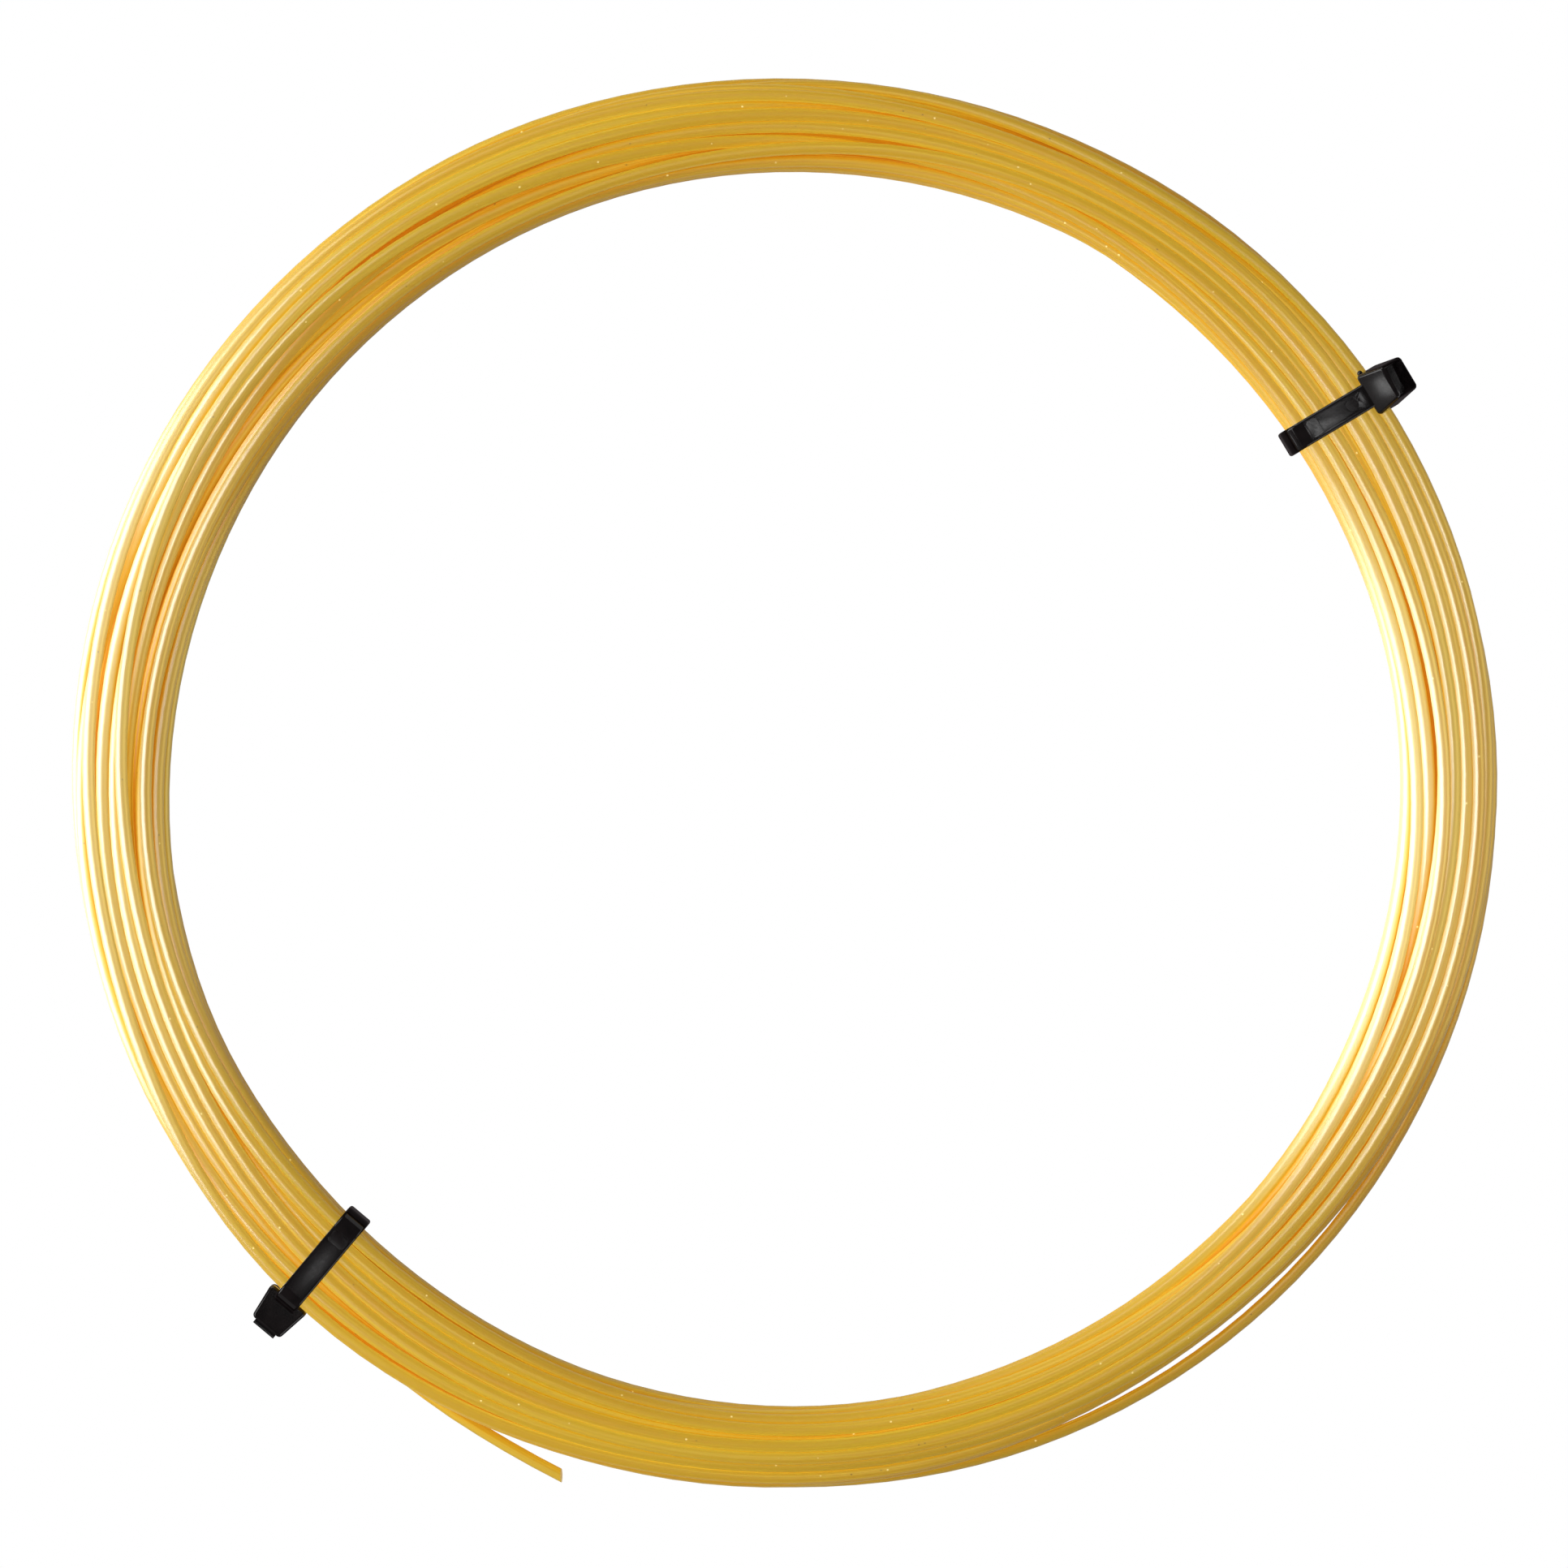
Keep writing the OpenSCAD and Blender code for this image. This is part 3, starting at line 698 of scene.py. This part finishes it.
class Nodes:
    """Short calls for a material's nodes."""

    def __init__(self, name):
        self.material = bpy.data.materials.new(name)
        self.material.use_nodes = True
        self.tree = self.material.node_tree
        self.shader = self.tree.nodes["Principled BSDF"]

    def node(self, kind, **settings):
        made = self.tree.nodes.new(kind)
        for key, value in settings.items():
            setattr(made, key, value)
        return made

    def link(self, start, end):
        self.tree.links.new(start, end)

    def feed(self, value, socket):
        """Links another node's output to the socket, or sets a plain value on it."""
        if isinstance(value, bpy.types.NodeSocket):
            self.link(value, socket)
        elif isinstance(value, tuple) and len(socket.default_value) == 4:
            socket.default_value = (*value, 1)
        else:
            socket.default_value = value

    def ramp(self, stops):
        made = self.node("ShaderNodeValToRGB")
        elements = made.color_ramp.elements
        elements.remove(elements[1])
        elements[0].position = stops[0][0]
        elements[0].color = (*stops[0][1], 1)
        for at, colour in stops[1:]:
            elements.new(at).color = (*colour, 1)
        return made

    def noise(self, place, scale, detail):
        """The shared grain over the place."""
        made = self.node("ShaderNodeGroup", node_tree=GRAIN)
        self.link(place, made.inputs["Place"])
        made.inputs["Scale"].default_value = scale
        made.inputs["Detail"].default_value = detail
        return made.outputs["Value"]

    def specks(self, place, scale, rare):
        """Where scattered specks lie, and a number of its own for each."""
        scaled = self.node("ShaderNodeVectorMath", operation="MULTIPLY")
        self.link(place, scaled.inputs[0])
        scaled.inputs[1].default_value = scale
        made = self.node("ShaderNodeTexVoronoi")
        made.inputs["Scale"].default_value = 1.0
        self.link(scaled.outputs[0], made.inputs["Vector"])
        split = self.node("ShaderNodeSeparateColor")
        self.link(made.outputs["Color"], split.inputs[0])
        spot = self.node("ShaderNodeMath", operation="MULTIPLY")
        self.link(self.spread(made.outputs["Distance"], 0.07, 0.14, 0.7, 0.0), spot.inputs[0])
        self.link(self.spread(split.outputs[0], rare, rare + 0.01, 0.0, 1.0), spot.inputs[1])
        return spot.outputs[0], split.outputs[1]

    def spread(self, value, low, high, to_low, to_high):
        """The value's range from low to high, spread over another range."""
        made = self.node("ShaderNodeMapRange")
        for at, number in enumerate((low, high, to_low, to_high), 1):
            made.inputs[at].default_value = number
        self.link(value, made.inputs[0])
        return made.outputs[0]

    def mix_colour(self, factor, first, second):
        made = self.node("ShaderNodeMix", data_type="RGBA")
        for value, socket in ((factor, 0), (first, 6), (second, 7)):
            self.feed(value, made.inputs[socket])
        return made.outputs[2]


def string_nylon():
    make = Nodes("amber_nylon")
    shader = make.shader
    for name, value in (
        ("IOR", 1.85),
        ("Subsurface Weight", 0.2),
        ("Subsurface Radius", (1.0, 0.6, 0.3)),
        ("Subsurface Scale", 0.0005),
        ("Anisotropic", 0.85),
        ("Anisotropic Rotation", 0.25),
        ("Coat Weight", 0.8),
        ("Coat IOR", 1.85),
        ("Coat Roughness", 0.31),
    ):
        shader.inputs[name].default_value = value
    # The fine lines along the string spread its shine across it
    run = make.node("ShaderNodeAttribute", attribute_name="run")
    make.link(run.outputs["Vector"], shader.inputs["Tangent"])
    round_way = make.node("ShaderNodeAttribute", attribute_name="round")
    make.link(round_way.outputs["Vector"], shader.inputs["Coat Normal"])
    opened = make.node("ShaderNodeAttribute", attribute_name="open")
    place = make.node("ShaderNodeAttribute", attribute_name="place_on_string")
    # Painted shade: where the 'open' attribute says less light reaches, on deeper turns and in the gaps,
    # the base colour is darker and more orange, like light that has come through other turns
    golden = make.ramp([
        (0, (0.26, 0.065, 0.003)),
        (0.28, (0.33, 0.125, 0.004)),
        (0.55, (0.385, 0.215, 0.005)),
        (0.8, (0.385, 0.247, 0.006)),
    ])
    orange = make.ramp([
        (0, (0.25, 0.055, 0.003)),
        (0.28, (0.33, 0.105, 0.004)),
        (0.55, (0.41, 0.18, 0.005)),
        (0.8, (0.40, 0.21, 0.005)),
    ])
    for ramp in (golden, orange):
        make.link(opened.outputs["Fac"], ramp.inputs[0])
    # Its colour drifts along it, and fine lines run along its surface
    drift = make.noise(place.outputs["Vector"], (60, 60, 9), detail=1.0)
    drift = make.spread(drift, 0.35, 0.65, 0.0, 1.0)
    lines = make.noise(place.outputs["Vector"], (4500, 4500, 25), detail=2.0)
    body = make.mix_colour(drift, golden.outputs[0], orange.outputs[0])
    light_lines = make.spread(lines, 0.48, 0.7, 0.0, 0.55)
    body = make.mix_colour(light_lines, body, (0.50, 0.34, 0.03))
    # Small pale nicks and a few dark specks lie here and there
    speck, sort = make.specks(place.outputs["Vector"], (1200, 1200, 1000), rare=0.82)
    dark = make.spread(sort, 0.75, 0.76, 0.0, 1.0)
    kind = make.mix_colour(dark, (0.80, 0.66, 0.28), (0.10, 0.05, 0.01))
    body = make.mix_colour(speck, body, kind)
    make.link(body, shader.inputs["Base Color"])
    make.link(make.spread(lines, 0.3, 0.7, 0.31, 0.41), shader.inputs["Roughness"])
    # Painted shade on the reflections: where the 'open' attribute says light is blocked, the specular tint
    # falls to black and the coat thins; where it is open the tint is a pale greenish cream
    shine = make.ramp([(0.3, (0, 0, 0)), (0.5, (0.45, 0.4, 0.12)), (0.78, (0.82, 1.0, 0.9))])
    make.link(opened.outputs["Fac"], shine.inputs[0])
    make.link(shine.outputs[0], shader.inputs["Specular Tint"])
    make.link(make.spread(opened.outputs["Fac"], 0.35, 0.8, 0.0, 0.8), shader.inputs["Coat Weight"])
    return make.material


def cut_nylon():
    make = Nodes("cut_nylon")
    place = make.node("ShaderNodeTexCoord").outputs["Object"]
    grain = make.noise(place, (5000, 5000, 5000), detail=2.0)
    grain = make.spread(grain, 0.35, 0.65, 0.0, 1.0)
    colour = make.mix_colour(grain, (0.90, 0.80, 0.55), (0.80, 0.64, 0.34))
    make.link(colour, make.shader.inputs["Base Color"])
    make.shader.inputs["Roughness"].default_value = 0.5
    return make.material


def tie_nylon():
    make = Nodes("black_nylon")
    shader = make.shader
    shader.inputs["IOR"].default_value = 1.42
    place = make.node("ShaderNodeTexCoord").outputs["Object"]
    # Colour and gloss wander a little, and the moulded skin is faintly rippled
    cloud = make.noise(place, (900, 900, 900), detail=3.0)
    fine = make.noise(place, (5200, 5200, 5200), detail=2.0)
    paler = make.spread(cloud, 0.35, 0.65, 0.0, 1.0)
    body = make.mix_colour(paler, (0.005, 0.0035, 0.0037), (0.010, 0.007, 0.0072))
    make.link(body, shader.inputs["Base Color"])
    make.link(make.spread(fine, 0.3, 0.7, 0.07, 0.095), shader.inputs["Roughness"])
    ripple = make.node("ShaderNodeBump")
    ripple.inputs["Distance"].default_value = 0.0012 * MM
    ripple.inputs["Strength"].default_value = 0.5
    make.link(cloud, ripple.inputs["Height"])
    grain = make.node("ShaderNodeBump")
    grain.inputs["Distance"].default_value = 0.0005 * MM
    grain.inputs["Strength"].default_value = 0.4
    make.link(fine, grain.inputs["Height"])
    make.link(ripple.outputs[0], grain.inputs["Normal"])
    make.link(grain.outputs[0], shader.inputs["Normal"])
    return make.material


amber = string_nylon()
black = tie_nylon()
string.data.materials.append(amber)
string.data.materials.append(cut_nylon())
string.data.polygons[-1].material_index = 1
for piece in tie_pieces:
    piece.data.materials.clear()
    piece.data.materials.append(black)
for side in TIES:
    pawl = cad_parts[side + "_tie_pawl"]
    for material_slot in pawl.material_slots:
        material_slot.link = "OBJECT"
        material_slot.material = black

# ---- The string on its body ----
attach(string, "string_bundle")
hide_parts("string_coil", "string_tail")


# ---- Studio ----
def studio_floor():
    make = Nodes("white_floor")
    shader = make.shader
    shader.inputs["Base Color"].default_value = (0, 0, 0, 1)
    shader.inputs["Specular IOR Level"].default_value = 0
    shader.inputs["Emission Color"].default_value = (1, 1, 1, 1)
    corners = [(FLOOR_HALF * x, FLOOR_HALF * y, 0) for x, y in ((-1, -1), (1, -1), (1, 1), (-1, 1))]
    floor = new_piece("floor", corners, [(0, 1, 2, 3)])
    floor.data.materials.append(make.material)
    # Plain white to the camera, and a soft glow from below to the string alone
    path = make.node("ShaderNodeLightPath")
    glow = make.spread(path.outputs["Is Camera Ray"], 0.0, 1.0, FLOOR_GLOW, 1.0)
    make.link(glow, shader.inputs["Emission Strength"])
    lights_only(floor, [string])


def lights_only(source, pieces):
    """Keeps the source's light to those pieces."""
    receivers = bpy.data.collections.new(source.name + "_receivers")
    for piece in pieces:
        receivers.objects.link(piece)
    source.light_linking.receiver_collection = receivers


def soft_light(name, place, size, power, lit, shadow=True, colour=(1.0, 1.0, 1.0), facing=None):
    """A softbox that lights only some of the pieces. It faces the origin, or the way given."""
    data = bpy.data.lights.new(name, "AREA")
    data.shape = "RECTANGLE"
    data.size, data.size_y = size
    data.energy = power
    data.color = colour
    data.use_shadow = shadow
    lamp = bpy.data.objects.new(name, data)
    lamp.location = place
    way = -Vector(place) if facing is None else Vector(facing)
    lamp.rotation_euler = way.to_track_quat("-Z", "Y").to_euler()
    lamp.visible_camera = False
    bpy.context.scene.collection.objects.link(lamp)
    lights_only(lamp, lit)


# The clear string passes light on, so its lights throw no shadows; the ties have their own, which do
studio_floor()
pawls = [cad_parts[side + "_tie_pawl"] for side in TIES]
for name, place, size, power, colour in (
    ("left_softbox", (-1.198, 0.09, 0.50), (1.2, 2.3), 88.0, (1.0, 1.0, 0.96)),
    ("right_softbox", (1.2, 0.0, 0.6), (1.0, 1.0), 9.0, (1.0, 0.76, 0.25)),
):
    soft_light(name, place, size, power, [string], shadow=False, colour=colour)
for name, place, power in (
    ("left_on_ties", (-0.6, -0.04, 0.25), 2.2),
    ("right_on_ties", (0.6, 0.0, 0.3), 0.8),
    ("upper_on_ties", (-0.33, 0.5, 0.3), 1.5),
    ("lower_on_ties", (0.33, -0.5, 0.3), 1.2),
    ("low_right_on_ties", (0.52, 0.32, 0.07), 0.4),
    ("low_left_on_ties", (-0.52, -0.32, 0.07), 0.16),
):
    soft_light(name, place, (0.5, 0.4), power, tie_pieces + pawls)
# Small lamps show as soft streaks on the flat tops of the straps, and the floor glows under each tie
for side, place, power in (
    ("right", (0.0686, 0.0460, 0.3), 0.0007),
    ("left", (-0.0605, -0.0635, 0.3), 0.0003),
):
    soft_light(side + "_streak", place, (0.005, 0.005), power, tie_pieces, facing=(0, 0, -1))
    beside = tie_frame(side).translation
    place = (beside.x, beside.y, LAMP_LIFT)
    warm = (1.0, 0.85, 0.88)
    soft_light(side + "_glow", place, (0.05, 0.05), 5e-4, tie_pieces + pawls, colour=warm, facing=(0, 0, 1))
# A glint on the slanted face of the right tie's head
glint = Matrix.Rotation(np.radians(RIGHT_TIE), 4, "Z") @ Vector((0.020, 0.0026, 0.0145))
soft_light("head_glint", glint, (0.002, 0.0014), 4e-5, tie_pieces, facing=(glint.x, glint.y, 0))

world = bpy.data.worlds.new("studio")
world.use_nodes = True
world.node_tree.nodes["Background"].inputs[0].default_value = (1, 1, 1, 1)
world.node_tree.nodes["Background"].inputs[1].default_value = WORLD_GLOW
bpy.context.scene.world = world
bpy.context.scene.view_settings.view_transform = "Standard"
